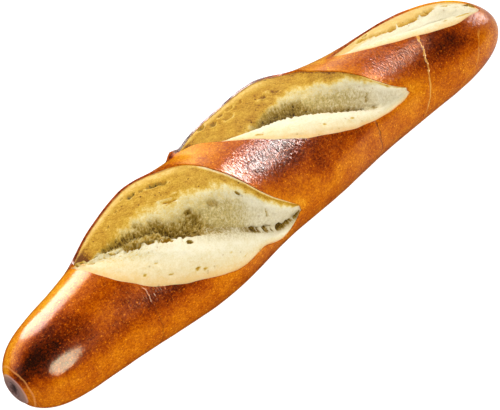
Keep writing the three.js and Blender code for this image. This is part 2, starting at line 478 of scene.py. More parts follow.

# Lists of [share, value] stops give what changes along a score, from its left end to its right.
# A place is a share of the way across, on the shelf from lower lip to slit and on the wall from
# slit to upper lip. A hollow has its share, place, half length, half breadth, depth (below 0 for a
# raised flake or strand), toast and painted shade.
NEAR_SCORE = {
    **EARS[0],
    "lower_lip": [[-65, -38], [-62, 0], [-54, 36], [-41, 60], [-26, 79], [-16, 79], [-7, 92]],
    "slit": [[-57, -42], [-48, -10], [-37, 22], [-24, 49], [-13, 74], [-6, 87], [-1, 85]],
    "shelf_drop": [[0, 3.5], [0.66, 3.5], [0.82, 1.4], [1, 0.8]],
    "depth": 9.0,
    "slit_open": [
        [0, 0.5], [0.12, 1], [0.42, 1], [0.55, 0.2], [0.66, 0.1], [0.73, 0.3], [0.95, 0.3], [1, 0.1],
    ],
    "torn_to": [
        [0, 0.1], [0.12, 0.36], [0.2, 0.42], [0.28, 0.45], [0.36, 0.47], [0.45, 0.49],
        [0.52, 0.54], [0.58, 0.6], [0.66, 0.74], [0.85, 0.78], [1, 0.7],
    ],
    "dark_from": [
        [0, 0.1], [0.14, 0.3], [0.2, 0.33], [0.28, 0.3], [0.35, 0.285], [0.39, 0.2], [0.43, 0.1], [1, 0],
    ],
    "dark_to": [
        [0.1, 0.3], [0.15, 0.5], [0.2, 0.51], [0.24, 0.47], [0.28, 0.45], [0.35, 0.42], [0.42, 0.34],
        [0.47, 0.33], [0.52, 0.31], [0.56, 0.2], [0.6, 0.1], [0.7, 0.1], [0.76, 0.15], [0.95, 0.15],
        [1, 0.1],
    ],
    "dark": [
        [0, 0.6], [0.13, 0.9], [0.18, 1], [0.36, 1], [0.41, 0.75], [0.5, 0.75], [0.56, 0.4], [0.6, 0],
        [0.7, 0], [0.74, 1], [0.96, 1], [1, 0],
    ],
    "olive": [[0, 0.5], [0.45, 0.7], [0.6, 1], [0.68, 0.8], [0.76, 0.35], [0.84, 0.25], [1, 0.2]],
    "white": [[0, 0], [0.66, 0], [0.78, 0.18], [1, 0.2]],
    "rough_shelf": [[0, 1], [0.26, 1], [0.42, 0.3], [0.55, 0], [1, 0]],
    "toast": 0.7,
    "peach": 0.0,
    "corner": 0.8,
    "woolliness": 1.0,
    "ragged": 0.6,
    "pale_rim_from": 0.52,
    "pale_lip_to": 0.52,
    "lip_bake": 0.36,
    "steps": 190,
    "columns": 110,
    "wall_hollows": [
        [0.323, 0.82, 1.3, 0.75, 2.0, 1.0, 1.0],
        [0.404, 0.80, 2.1, 0.8, 2.2, 0.95, 0.9],
        [0.441, 0.785, 1.2, 0.6, 1.6, 0.95, 0.8],
        [0.29, 0.89, 0.6, 0.4, 0.8, 1.0, 0.6],
        [0.36, 0.80, 0.7, 0.4, 0.8, 1.0, 0.6],
        [0.25, 0.80, 0.5, 0.35, 0.6, 1.0, 0.5],
        [0.20, 0.70, 0.5, 0.35, 0.6, 1.0, 0.5],
        [0.42, 0.56, 3.0, 0.35, -0.6, 0.3, 0.0],
        [0.46, 0.60, 2.2, 0.3, -0.6, 0.3, 0.0],
        [0.44, 0.53, 2.2, 0.35, 0.8, 0.85, 0.2],
        [0.49, 0.37, 1.6, 1.0, 1.4, 0.2, 0.75],
        [0.59, 0.45, 2.6, 1.4, 1.5, 0.3, 0.3],
        [0.705, 0.72, 1.0, 0.4, 1.0, 0.5, 0.7],
        [0.815, 0.46, 0.4, 2.6, 0.6, 0.2, 0.4],
    ],
    "shelf_hollows": [
        [0.255, 0.93, 4.0, 1.7, 2.4, 0.72, 0.15],
        [0.275, 0.88, 1.5, 0.8, 3.2, 1.0, 0.85],
        [0.33, 0.97, 2.6, 1.0, 2.0, 0.72, 0.1],
        [0.39, 0.95, 2.0, 0.7, 1.8, 0.8, 0.3],
        [0.47, 0.88, 1.0, 0.5, 1.4, 0.6, 0.8],
        [0.19, 0.80, 2.0, 0.5, 1.3, 0.7, 0.45],
        [0.15, 0.62, 2.0, 0.4, 1.0, 0.65, 0.3],
        [0.12, 0.40, 1.8, 0.4, 0.9, 0.65, 0.3],
        [0.16, 0.73, 2.6, 0.35, -0.8, 0.15, 0.0],
        [0.13, 0.51, 2.4, 0.35, -0.8, 0.15, 0.0],
        [0.09, 0.28, 1.8, 0.4, -0.7, 0.35, 0.0],
        [0.075, 0.60, 1.9, 0.6, 1.6, 1.0, 0.7],
        [0.03, 0.28, 1.9, 0.5, -1.3, 0.62, 0.0],
        [0.05, 0.78, 2.2, 0.5, -1.3, 0.55, 0.0],
        [0.03, 0.52, 1.6, 0.5, 1.3, 1.0, 0.7],
        [0.232, 0.92, 0.35, 1.4, -0.7, 0.15, 0.0],
        [0.262, 0.94, 0.3, 1.4, -0.7, 0.15, 0.0],
        [0.302, 0.96, 0.35, 1.2, -0.7, 0.15, 0.0],
        [0.345, 0.97, 0.3, 1.0, -0.7, 0.15, 0.0],
        [0.50, 0.27, 0.8, 0.4, 0.8, 0.7, 0.1],
        [0.525, 0.24, 0.6, 0.35, 0.7, 0.7, 0.1],
        [0.415, 0.21, 0.7, 0.3, 0.6, 0.7, 0.1],
        [0.36, 0.45, 0.5, 0.25, 0.4, 0.4, 0.0],
        [0.33, 0.20, 0.6, 0.3, 0.5, 0.6, 0.1],
        [0.62, 0.52, 0.4, 0.25, 0.4, 0.4, 0.0],
        [0.68, 0.33, 0.4, 0.25, 0.4, 0.4, 0.0],
    ],
}
MIDDLE_SCORE = {
    **EARS[1],
    "lower_lip": [[-11, -46], [-2, -19], [10, 15], [24, 37], [38, 51], [51, 55]],
    "slit": [[-9, -46], [5, -26], [18, -4], [32, 25], [44, 46]],
    "shelf_drop": [[0, 2.8], [1, 2.8]],
    "depth": 9.0,
    "slit_open": [[0, 0], [0.25, 0.15], [0.38, 0.8], [0.5, 1], [0.8, 1], [0.86, 0], [1, 0]],
    "torn_to": [
        [0, 0], [0.24, 0.0], [0.33, 0.28], [0.38, 0.4], [0.43, 0.52], [0.48, 0.6],
        [0.54, 0.64], [0.65, 0.76], [0.76, 0.84], [0.9, 0.85], [1, 0.85],
    ],
    "dark_from": [[0, 0], [1, 0]],
    "dark_to": [
        [0.27, 0.1], [0.33, 0.36], [0.38, 0.47], [0.43, 0.52], [0.48, 0.53], [0.52, 0.5],
        [0.56, 0.34], [0.65, 0.3], [0.74, 0.24], [0.83, 0.2], [0.86, 0.05],
    ],
    "dark": [[0, 0], [0.28, 0], [0.33, 1], [0.5, 1], [0.56, 0.5], [0.83, 0.5], [0.86, 0], [1, 0]],
    "olive": [[0, 0.5], [0.4, 0.7], [0.55, 1], [0.7, 0.9], [0.79, 0.7], [0.85, 0.35], [1, 0.25]],
    "white": [[0, 0], [0.72, 0], [0.86, 0.28], [1, 0.28]],
    "rough_shelf": [[0, 0], [0.82, 0], [0.88, 1], [1, 1]],
    "toast": 0.75,
    "peach": 0.0,
    "corner": 0.5,
    "woolliness": 1.0,
    "ragged": 0.6,
    "pale_rim_from": 0.78,
    "pale_lip_to": 0.44,
    "lip_bake": 0.62,
    "steps": 190,
    "columns": 110,
    "wall_hollows": [
        [0.16, 0.93, 1.2, 0.6, 1.0, 0.9, 0.35],
        [0.20, 0.76, 1.1, 0.6, 1.0, 0.9, 0.35],
        [0.24, 0.83, 0.9, 0.5, 0.6, 0.8, 0.1],
        [0.28, 0.84, 1.3, 0.6, 0.8, 0.8, 0.1],
        [0.32, 0.83, 1.0, 0.5, 0.7, 0.8, 0.1],
        [0.26, 0.68, 1.6, 0.8, 0.6, 0.8, 0.1],
        [0.38, 0.66, 1.5, 0.5, -0.5, 0.5, 0.0],
        [0.42, 0.73, 1.6, 0.5, -0.6, 0.5, 0.0],
        [0.45, 0.71, 1.4, 0.4, 0.6, 0.9, 0.1],
        [0.40, 0.69, 1.2, 0.4, 0.6, 0.9, 0.1],
        [0.815, 0.38, 0.6, 3.2, 0.9, 0.2, 0.35],
    ],
    "shelf_hollows": [
        [0.33, 0.27, 1.3, 0.4, 0.5, 0.6, 0.1],
        [0.58, 0.40, 0.6, 0.4, 0.4, 0.4, 0.05],
        [0.70, 0.55, 0.7, 0.4, 0.4, 0.4, 0.05],
    ],
}
FAR_SCORE = {
    **EARS[2],
    "lower_lip": [[52, -22], [65, -3], [78, 11], [86, 14], [94, 9]],
    "slit": [[55, -37], [65, -27], [76, -14], [88, -8]],
    "shelf_drop": [[0, 2.5], [1, 2.5]],
    "depth": 6.0,
    "slit_open": [[0, 0.06], [1, 0.06]],
    "torn_to": [[0, 0.2], [0.3, 0.4], [0.6, 0.45], [0.7, 0.8], [1, 0.85]],
    "dark_from": [[0, 0], [1, 0]],
    "dark_to": [[0, 0], [1, 0]],
    "dark": [[0, 0], [1, 0]],
    "olive": [[0, 0], [0.6, 0], [0.7, 0.15], [1, 0.15]],
    "white": [[0, 0.4], [0.6, 0.4], [0.7, 0.3], [1, 0.3]],
    "rough_shelf": [[0, 0], [0.62, 0], [0.7, 0.7], [1, 0.5]],
    "toast": 0.36,
    "peach": 0.7,
    "corner": 0.0,
    "woolliness": 0.5,
    "ragged": 0.28,
    "pale_rim_from": 0.66,
    "pale_lip_to": 1.0,
    "lip_bake": 0.36,
    "steps": 165,
    "columns": 68,
    "wall_hollows": [
        [0.24, 0.68, 2.2, 0.9, 0.8, 0.5, 0.0],
        [0.30, 0.60, 2.6, 1.2, 1.3, 0.66, 0.0],
        [0.36, 0.51, 2.6, 1.4, 1.5, 0.7, 0.0],
        [0.42, 0.46, 2.6, 1.6, 1.6, 0.74, 0.0],
        [0.48, 0.47, 2.6, 1.7, 1.6, 0.76, 0.0],
        [0.54, 0.49, 2.6, 1.7, 1.7, 0.78, 0.0],
        [0.60, 0.55, 2.4, 1.6, 1.7, 0.8, 0.05],
        [0.64, 0.66, 2.0, 1.3, 1.7, 0.8, 0.2],
        [0.27, 0.86, 1.0, 0.5, 0.9, 1.0, 0.4],
        [0.455, 0.45, 0.4, 1.9, -1.2, -0.1, 0.0],
        [0.592, 0.50, 0.45, 1.9, -1.2, -0.1, 0.0],
        [0.70, 0.42, 2.6, 2.0, -1.2, -0.25, 0.0],
        [0.78, 0.36, 2.2, 1.4, -0.9, -0.25, 0.0],
        [0.72, 0.76, 1.2, 0.5, 0.8, 0.5, 0.1],
        [0.79, 0.64, 1.0, 0.45, 0.7, 0.5, 0.1],
        [0.84, 0.82, 1.1, 0.5, 1.2, 1.0, 0.9],
        [0.88, 0.86, 2.6, 0.8, -0.7, 1.1, 0.35],
    ],
    "shelf_hollows": [
        [0.73, 0.59, 0.8, 0.5, 0.6, 0.5, 0.1],
        [0.85, 0.5, 3.0, 0.8, 0.3, 0.5, 0.0],
    ],
}
SCORES = [NEAR_SCORE, MIDDLE_SCORE, FAR_SCORE]


def between(stops, share):
    """The value at a share of the way along a list of [share, value] stops."""
    if share <= stops[0][0]:
        return stops[0][1]
    for (here, low), (there, high) in zip(stops, stops[1:]):
        if share <= there:
            return mix(low, high, smooth_step(here, there, share))
    return stops[-1][1]


def ripple(first, second, lane):
    return noise.noise(Vector((first, second, lane)))


def ripples(place, roughness=0.8, octaves=3):
    """Ripples with finer and finer ones laid over them."""
    return noise.fractal(place, roughness, 2.0, octaves)


def line_across(score, curves, share, run):
    """What is the same all the way across a score at a share of its length."""
    steps = score["steps"]
    index = min(int(share * steps), steps - 1)
    onward = share * steps - index
    low, cut, high = (curve[index].lerp(curve[index + 1], onward) for curve in curves)
    along = share * run
    wobble = LIP_WOBBLE["reach"] * ripple(along / LIP_WOBBLE["size"], LIP_WOBBLE["lower_lane"], 0)
    low = low + (low - cut) * (wobble / max((low - cut).length, 1.0))
    wobble = LIP_WOBBLE["reach"] * ripple(along / LIP_WOBBLE["size"], LIP_WOBBLE["upper_lane"], 0)
    high = high + (high - cut) * (wobble / max((high - cut).length, 1.0))
    opening = math.sin(math.pi * share) ** TIP_BLUNTNESS
    slit_open = between(score["slit_open"], share)
    shelf_edge = -LOWER_STEP - between(score["shelf_drop"], share) * opening
    return SimpleNamespace(
        share=share,
        along=along,
        low=low,
        cut=cut,
        high=high,
        uphill=(high - low).normalized(),
        slit_open=slit_open,
        shelf_edge=shelf_edge,
        bottom=mix(shelf_edge, -UPPER_STEP - score["depth"] * opening, slit_open),
        top=ear_rise(score, share) - UPPER_STEP,
        olive=between(score["olive"], share),
        crest=sum(fringe["reach"] * ripple(along / fringe["size"], fringe["lane"], 0) for fringe in FRINGES),
    )


def shelf_crumb(score, line, across):
    """The pale shelf: rosy at the lower lip, whiter and rougher towards the slit."""
    place = across / SHELF_COLUMNS
    rough = between(score["rough_shelf"], line.share) * smooth_step(0.3, 0.65, place)
    rosy = 0.6 * (1 - smooth_step(0.0, 0.3, place)) + 0.4 * (1 - smooth_step(0.1, 0.7, place))
    return SimpleNamespace(
        hollows=score["shelf_hollows"],
        place=place,
        breadth=(line.cut - line.low).length,
        on_skin=line.low.lerp(line.cut, place),
        rise=mix(-LOWER_STEP, line.shelf_edge, place ** SHELF_BEND),
        shift=line.crest * line.slit_open * smooth_step(0.7, 1.0, place),
        fuzz=max(rough, 0.5 * smooth_step(0.75, 1.0, place)),
        torn=line.olive * 0.7 * (1 - line.slit_open) * smooth_step(0.72, 1.0, place),
        toast=-0.16 * smooth_step(0.3, 0.8, place),
        golden=rough * (1 - smooth_step(0.3, 0.42, line.share)),
        blush=rosy,
        dark=0.0,
        ledge=0.0,
        lace=0.0,
        fade=smooth_step(0.0, 0.12, place),
    )


def slit_crumb(score, line, across):
    """The slit: a gap under the shelf's fringe, dark with painted shade, golden and lacy where a ledge hangs
    in it.
    """
    place = (across - SHELF_COLUMNS) / (SLIT_COLUMNS - SHELF_COLUMNS)
    golden = smooth_step(0.12, 0.2, between(score["dark_from"], line.share))
    strands = ripple(line.along / STRANDS["size"], 0.4 * place, STRANDS["lane"])
    dark = smooth_step(0.05, 0.3, line.slit_open) * smooth_step(0.05, 0.35, place)
    dark *= max(between(score["dark"], line.share), 0.5)
    dark *= mix(1.0, smooth_step(-0.4, -0.15, strands), smooth_step(0.7, 0.74, line.share))
    dark *= 1 - 0.7 * golden
    undercut = UNDERCUT * line.slit_open * math.sin(math.pi * place)
    return SimpleNamespace(
        hollows=[],
        place=place,
        breadth=SLIT_BREADTH,
        on_skin=line.cut.lerp(line.high, place * SLIT_WIDTH),
        rise=mix(line.shelf_edge, line.bottom, smooth_step(0, 1, place)),
        shift=line.crest * line.slit_open * (1 - place) - undercut,
        fuzz=mix(0.5, 1.0, place),
        torn=line.olive * mix(0.7, 1.0, place),
        toast=mix(-0.16, 0.62, golden),
        golden=0.0,
        blush=0.0,
        dark=dark,
        ledge=0.0,
        lace=golden,
        fade=1.0,
    )


def wall_crumb(score, line, across):
    """The wall: torn and woolly from the slit up to a frayed edge, and toasted from there to the lip."""
    share = line.share
    climb = (across - SLIT_COLUMNS) / (1 - SLIT_COLUMNS)
    place = mix(SLIT_WIDTH, 1.0, climb)
    breadth = (line.high - line.cut).length
    up = place * breadth
    fray_place = Vector((line.along / FRAYING["size"], up / FRAYING["size"], FRAYING["lane"]))
    frayed = ripples(fray_place, octaves=4)
    wisps = ripples(Vector((line.along / WISPS["length"], up / WISPS["breadth"], WISPS["lane"])))
    edge = between(score["torn_to"], share) + 0.07 * frayed
    tan = smooth_step(edge - 0.08, edge + 0.13, place + 0.035 * wisps)
    near_lip = smooth_step(0.82, 0.96, place)
    pale_lip = 1 - smooth_step(-0.06, 0.08, share - score["pale_lip_to"])
    pale_rim = smooth_step(0.93, 0.98, place) * smooth_step(0.0, 0.1, share - score["pale_rim_from"])
    brown_rim = smooth_step(0.96, 0.985, place)
    brown_rim *= 1 - smooth_step(-0.06, 0.04, share - score["pale_rim_from"])
    dark_edge = between(score["dark_to"], share) + 0.06 * frayed
    dark_start = between(score["dark_from"], share) + 0.03 * frayed + 0.045 * wisps
    ledge = 1 - smooth_step(dark_start - 0.04, dark_start + 0.02, place)
    toast = score["toast"] * tan * mix(1.0, mix(1.08, 0.55, pale_lip), near_lip)
    toast *= 1 - 0.8 * pale_rim
    # Towards the left end the wall is browned: toasted skin, deepened by painted shade in the corner
    toast += score["corner"] * (1 - smooth_step(0.0, 0.12, share))
    toast = mix(toast, 1.0, 0.85 * brown_rim)
    toast = max(toast, 0.68 * ledge, 0.22 * (1 - smooth_step(0.5, 0.8, share)))
    toast -= between(score["white"], share) * (1 - tan) * (1 - ledge)
    holes = sum(
        hole["gain"] * ripple(line.along / hole["size"], across * hole["packing"], hole["lane"])
        for hole in HOLES
    )
    # Painted shade darkens the wall from the slit up to a frayed edge
    dark = between(score["dark"], share) * (1 - smooth_step(dark_edge - 0.1, dark_edge + 0.03, place))
    dark *= 1 - ledge
    dark *= mix(1.0, smooth_step(-0.15, 0.15, holes), smooth_step(0.7, 0.74, share))
    return SimpleNamespace(
        hollows=score["wall_hollows"],
        place=place,
        breadth=breadth,
        on_skin=line.cut.lerp(line.high, place),
        rise=mix(line.bottom, line.top, climb ** WALL_BEND),
        shift=0.0,
        fuzz=score["woolliness"] * (1 - smooth_step(edge - 0.1, edge + 0.04, place)),
        torn=line.olive * (1 - smooth_step(edge - 0.28, edge - 0.05, place)) * (1 - ledge),
        toast=toast,
        golden=0.0,
        blush=max(score["peach"] * tan, 0.35 * near_lip * pale_lip),
        dark=dark,
        ledge=ledge,
        lace=ledge,
        fade=1 - smooth_step(0.93, 1.0, place),
    )


def crumb_at(score, line, across):
    """The crumb on whichever face of a score is at a share of the way across its grid."""
    if across < SHELF_COLUMNS:
        return shelf_crumb(score, line, across)
    if across < SLIT_COLUMNS:
        return slit_crumb(score, line, across)
    return wall_crumb(score, line, across)


def hollow_at(line, crumb, run, uneven):
    """Depth, toast, painted shade, how far inside a hollow's tint and shade, and the painted highlight of a
    pale rim, for the hollows and raised flakes at a place.
    """
    sunk, raised, toast, shade, inside, pore_highlight = 0.0, 0.0, 0.0, 0.0, 0.0, 0.0
    for share, place, half_length, half_breadth, deep, its_toast, its_shade in crumb.hollows:
        along = (line.share - share) * run / half_length
        if abs(along) > FAR_OFF:
            continue
        across = (crumb.place - place) * crumb.breadth / half_breadth
        small = half_breadth < SMALL_HOLLOW
        reach = math.hypot(along, across) + uneven * (0.25 if small else 1.0)
        bowl = 1 - smooth_step(0.7 if small else 0.5, 1.05, reach)
        tint_and_shade = bowl
        # Small pits carry their tint and painted shade out over the far inner wall
        if small and deep > 0:
            tint_and_shade = 1 - smooth_step(0.95, 1.15, reach)
            # A pale rim below a small pit is a painted highlight
            if across < 0:
                pore_highlight = max(pore_highlight, bell(reach, 1.3, 0.25))
        sunk = max(sunk, deep * bowl)
        raised = min(raised, deep * bowl)
        if tint_and_shade > inside or (deep < 0 and tint_and_shade > 0.5):
            inside, toast, shade = tint_and_shade, its_toast, its_shade
    return sunk + raised, toast, shade, inside, pore_highlight


def cut_score(score):
    """The space that a score opens, as a closed mesh, with what its crumb is like point by point."""
    steps = score["steps"]
    curves = [skin_curve(score, line, steps) for line in ("lower_lip", "slit", "upper_lip")]
    run = sum((there - here).length for here, there in zip(curves[1], curves[1][1:]))
    shares = [mix(SCORE_TIP, 1 - SCORE_TIP, step / steps) for step in range(steps + 1)]
    lines = [line_across(score, curves, share, run) for share in shares]
    shape = bmesh.new()
    bmesh.ops.create_grid(shape, x_segments=steps, y_segments=score["columns"], size=0.5)
    points = []
    lids = []
    for vert in shape.verts:
        line = lines[round((vert.co.x + 0.5) * steps)]
        across = vert.co.y + 0.5
        crumb = crumb_at(score, line, across)
        on_skin = crumb.on_skin
        plain = point_over_loaf(on_skin.x, on_skin.y, crumb.rise)
        across_mm = crumb.place * crumb.breadth
        lumps = ripples(plain / LUMPS["size"])
        wool = ripples(plain / WOOL["size"], roughness=0.7)
        bend = BUBBLES["bend"] * noise.noise_vector(plain / BUBBLES["bend_size"])
        distances = noise.voronoi(plain / BUBBLES["size"] + bend)[0]
        bubble = smooth_step(0.05, 0.5, distances[1] - distances[0])
        streaks = ripple(line.along / STREAKS["length"], across_mm / STREAKS["breadth"], STREAKS["lane"])
        blisters = noise.noise(plain / BLISTERS["size"])
        uneven = score["ragged"] * ripples(plain / RAGGED_SIZE)
        sunk, its_toast, its_shade, inside, pore_highlight = hollow_at(line, crumb, run, uneven)

        fade = crumb.fade * smooth_step(0.0, 0.08, line.share) * (1 - smooth_step(0.92, 1.0, line.share))
        torn_depth = LUMPS["depth"] * (1 + lumps) + WOOL["depth"] * wool
        torn_depth += mix(0.15, 1.0, max(crumb.dark, crumb.ledge)) * bubble
        skin_depth = STREAKS["depth"] * streaks + BLISTERS["depth"] * blisters
        depth = mix(skin_depth, torn_depth, crumb.fuzz) * fade + sunk + DARK_DEPTH * crumb.dark * fade
        on_floor = on_skin + line.uphill * crumb.shift
        vert.co = point_over_loaf(on_floor.x, on_floor.y, crumb.rise - depth) * METRES
        lids.append(point_over_loaf(on_skin.x, on_skin.y, CUT_CLEARANCE) * METRES)

        on_wall = across >= SLIT_COLUMNS
        # The shade value is painted shade: in the slit and above it, deeper in the pits of the sponge and
        # the ledge, and inside hollows
        sponge = mix(0.55, 1.25, bubble) if on_wall else 1.0
        shade = max(crumb.dark * sponge * (1 + 0.3 * wool), inside * its_shade)
        shade += 0.8 * crumb.lace * bubble * smooth_step(-0.2, 0.3, lumps)
        shade += 0.25 * crumb.fuzz * crumb.torn * max(lumps, 0.0)
        toast = crumb.toast + crumb.lace * mix(-0.34, 0.16, bubble) + crumb.golden * mix(0.12, 0.5, bubble)
        # Below small pits the wall is paled by a painted highlight on their lit rims
        if on_wall:
            toast -= 0.3 * pore_highlight
        points.append(
            {
                "place": vert.co.copy(),
                "toast": mix(toast, its_toast, inside),
                "shade": min(max(shade, 0.0), 1.0),
                "torn": crumb.torn * (1 - inside),
                "fuzz": crumb.fuzz * fade,
                "blush": crumb.blush * (1 - inside),
                "along": line.along,
                "across": across_mm,
            }
        )
    floor_of = kdtree.KDTree(len(shape.verts))
    for index, vert in enumerate(shape.verts):
        floor_of.insert(vert.co, index)
    floor_of.balance()
    lifted = bmesh.ops.extrude_face_region(shape, geom=shape.faces[:])["geom"]
    lifted = {item for item in lifted if isinstance(item, bmesh.types.BMVert)}
    for vert in lifted:
        vert.co = lids[floor_of.find(vert.co)[1]]
    for face in shape.faces:
        is_rim = 0 < sum(vert in lifted for vert in face.verts) < len(face.verts)
        face.material_index = 2 if is_rim else 1
    bmesh.ops.recalc_face_normals(shape, faces=shape.faces)
    return mesh_from(shape, "score"), points


CRUMB_COLOURS = [
    (0.0, (0.96, 0.885, 0.67)),
    (0.2, (0.88, 0.79, 0.53)),
    (0.424, (0.82, 0.655, 0.27)),
    (0.64, (0.69, 0.44, 0.055)),
    (0.88, (0.48, 0.24, 0.012)),
    (1.0, (0.2, 0.065, 0.005)),
]
BLUSH_COLOUR = (0.86, 0.58, 0.22, 1)
PORE_COLOUR = (0.62, 0.38, 0.10, 1)
WOOL_COLOUR = (0.53, 0.395, 0.115, 1)
# Colours of the painted shade in the crumb
SHADE_COLOUR = (0.42, 0.27, 0.035, 1)
DEEP_COLOUR = (0.11, 0.055, 0.005, 1)
PATCH_SWING = 0.4
STREAK_SWING = 0.45
GRIT_SWING = 0.4
PALE_FLECKS = -0.35
MARK_STRENGTH = 0.6
PLAIN_TOAST = 0.2
TOAST_REACH = 0.8
PALE_CRUMB = 0.4
WOOL_BUMP = 0.3
SKIN_BUMP = 0.25
PORE_DEPTH = -0.2

crumb_finish = bpy.data.materials.new("crumb")
crumb_finish.use_nodes = True
tree = crumb_finish.node_tree
shader = tree.nodes["Principled BSDF"]
in_mm = in_millimetres(tree)
along_cut = attribute(tree, "along")
across_cut = attribute(tree, "across")
toast_value = attribute(tree, "toast")
patches = centred(tree, noise_node(tree, in_mm, 0.35, 6, 0.8), PATCH_SWING)
grit = centred(tree, noise_node(tree, in_mm, 2.0, 3, 0.75), GRIT_SWING)
streaks = noise_node(tree, stretched(tree, along_cut, 0.2, across_cut, 0.9), 1.0, 5, 0.75)
streaks = centred(tree, streaks, STREAK_SWING)
fluff = noise_node(tree, in_mm, 1.5, 6, 0.8)
flecks = map_range(tree, noise_node(tree, in_mm, 1.9, 3, 0.6), 0.62, 0.75)
pores = dots_node(tree, in_mm, scale=0.7, reach=0.2, share=0.3)
toasted = math_node(tree, "ADD", toast_value, math_node(tree, "ADD", patches, grit))
toasted = multiply_add(tree, streaks, math_node(tree, "MINIMUM", toast_value, 1.0), toasted)
marks = multiply_add(tree, flecks, PALE_FLECKS, pores)
marks = multiply(tree, marks, toast_value)
toasted = multiply_add(tree, marks, MARK_STRENGTH, toasted)
toasted = multiply_add(tree, toasted, TOAST_REACH, PLAIN_TOAST)
painted = colour_stops(tree, toasted, CRUMB_COLOURS)
ruddy = map_range(tree, patches, -0.2, 0.2, 0.6, 1.0)
ruddy = multiply(tree, attribute(tree, "blush"), ruddy)
painted = blend(tree, ruddy, painted, BLUSH_COLOUR)
paleness = math_node(tree, "MINIMUM", toast_value, PALE_CRUMB)
paleness = math_node(tree, "SUBTRACT", PALE_CRUMB, paleness)
painted = blend(tree, multiply(tree, pores, paleness), painted, PORE_COLOUR)
fibres = noise_node(tree, stretched(tree, along_cut, 2.0, across_cut, 0.5), 1.0, 3, 0.6)
hairs = multiply_add(tree, fibres, 0.35, multiply(tree, fluff, 0.65))
woolly = map_range(tree, hairs, 0.4, 0.6, 0.1, 1.15)
woolly = multiply(tree, attribute(tree, "torn"), woolly)
painted = blend(tree, woolly, painted, WOOL_COLOUR)
# Painted shade: the shade value darkens the crumb towards olive and deep brown
shaded = map_range(tree, hairs, 0.4, 0.6, 0.45, 1.2)
shaded = multiply(tree, attribute(tree, "shade"), shaded)
painted = blend(tree, map_range(tree, shaded, 0.0, 0.5), painted, SHADE_COLOUR)
painted = blend(tree, map_range(tree, shaded, 0.4, 1.0), painted, DEEP_COLOUR)
tree.links.new(painted, shader.inputs["Base Color"])
shader.inputs["Roughness"].default_value = 0.8
shader.inputs["Specular IOR Level"].default_value = 0.25
fluff_depth = multiply_add(tree, attribute(tree, "fuzz"), WOOL_BUMP, SKIN_BUMP)
height = multiply(tree, fluff, fluff_depth)
height = multiply_add(tree, pores, PORE_DEPTH, height)
bump = add_node(tree, "Bump", None, Strength=1.0, Distance=METRES, Height=height)
tree.links.new(bump.outputs["Normal"], shader.inputs["Normal"])
loaf_mesh.materials.append(crumb_finish)


def add_object(name, data):
    item = bpy.data.objects.new(name, data)
    bpy.context.collection.objects.link(item)
    return item


stick = add_object("stick", loaf_mesh)
crumb_points = []
cutters = []
for score in SCORES:
    mesh, points = cut_score(score)
    crumb_points += points
    mesh.materials.append(crust)
    mesh.materials.append(crumb_finish)
    cutter = add_object("score", mesh)
    cutters.append(cutter)
    cut = stick.modifiers.new("score", "BOOLEAN")
    cut.operation = "DIFFERENCE"
    cut.solver = "MANIFOLD"
    cut.object = cutter
cut_loaf = stick.evaluated_get(bpy.context.evaluated_depsgraph_get())
stick_mesh = bpy.data.meshes.new_from_object(cut_loaf)
stick.modifiers.clear()
stick.data = stick_mesh
for cutter in cutters:
    bpy.data.objects.remove(cutter)

# Smooth all over, with sharp edges where crust meets crumb and at the ends of a cut, whose small
# faces then take the crust's finish
edges = bmesh.new()
edges.from_mesh(stick_mesh)
for face in edges.faces:
    face.smooth = True
for edge in edges.edges:
    if len({face.material_index for face in edge.link_faces}) > 1:
        edge.smooth = False
for face in edges.faces:
    face.material_index = face.material_index % 2
edges.to_mesh(stick_mesh)
edges.free()

# The browning: lye and the oven's heat coloured the crust unevenly, darkest on top, round the near
# tip and along the upper lips, and wrinkled it where it stretched. Painted shade is added in the
# small hollow at the tip and on the low sides, and a painted sheen pales the back of the top. Each
# point of the mesh keeps how baked and shaded, wrinkled and matt its crust is, and what the crumb
# nearest to it is like.
BASE_BAKE = 0.35
TOP_BAKE = {"turn": 8.0, "breadth": 45.0, "gain": 0.2}
PATCH_BAKE = {"size": 14.0, "gain": 0.08}
# Painted shade darkens the low sides against the light the pale floor throws onto them
LOW_SIDE_SHADE = 0.12
# A painted sheen pales the back of the top, where the broad back light is reflected
BACK_SHEEN = 0.13
# Painted shade darkens the small hollow at the near tip
TIP_SHADE = {"length": 4.0, "reach": 2.4, "gain": 0.75}
TIP_MATT_REACH = 2.2
END_FADE = 4.0
DARK_LIP = {"reach": 1.4, "fade_from": 0.42, "fade_to": 0.6, "matt": 0.3}
PALE_LIP = {"reach": 3.5, "fade_from": 0.55, "fade_to": 0.8, "gain": 0.12}
WRINKLE_MATT = 0.35
LEAST_HALF = 0.5
LIP_STEPS = 190
DARK_ZONES = [
    (-94, 10, 17, 28, 0.48),
    (-60, 42, 14, 18, 0.18),
    (-87, 40, 6, 13, 0.26),
    (-5, 12, 9, 20, 0.2),
    (54, 10, 9, 20, 0.14),
    (-48, 50, 14, 20, 0.26),
    (12, 14, 14, 28, 0.36),
    (24, 48, 18, 14, 0.2),
    (75, 29, 15, 32, 0.33),
]
WRINKLE_ZONES = [
    (2, 10, 20, 40, 1.0),
    (55, 5, 15, 40, 1.0),
    (-50, 45, 10, 18, 0.5),
    (92, 22, 6, 14, 0.7),
    (-87, 38, 8, 16, 0.14),
    (-78, -28, 14, 16, 0.12),
]

upper_lips = kdtree.KDTree(len(SCORES) * (LIP_STEPS + 1))
lip_places = []
for score in SCORES:
    for step, lip in enumerate(skin_curve(score, "upper_lip", LIP_STEPS)):
        share = step / LIP_STEPS
        upper_lips.insert(point_over_loaf(lip.x, lip.y, ear_rise(score, share)), len(lip_places))
        lip_places.append((score["lip_bake"], share))
upper_lips.balance()


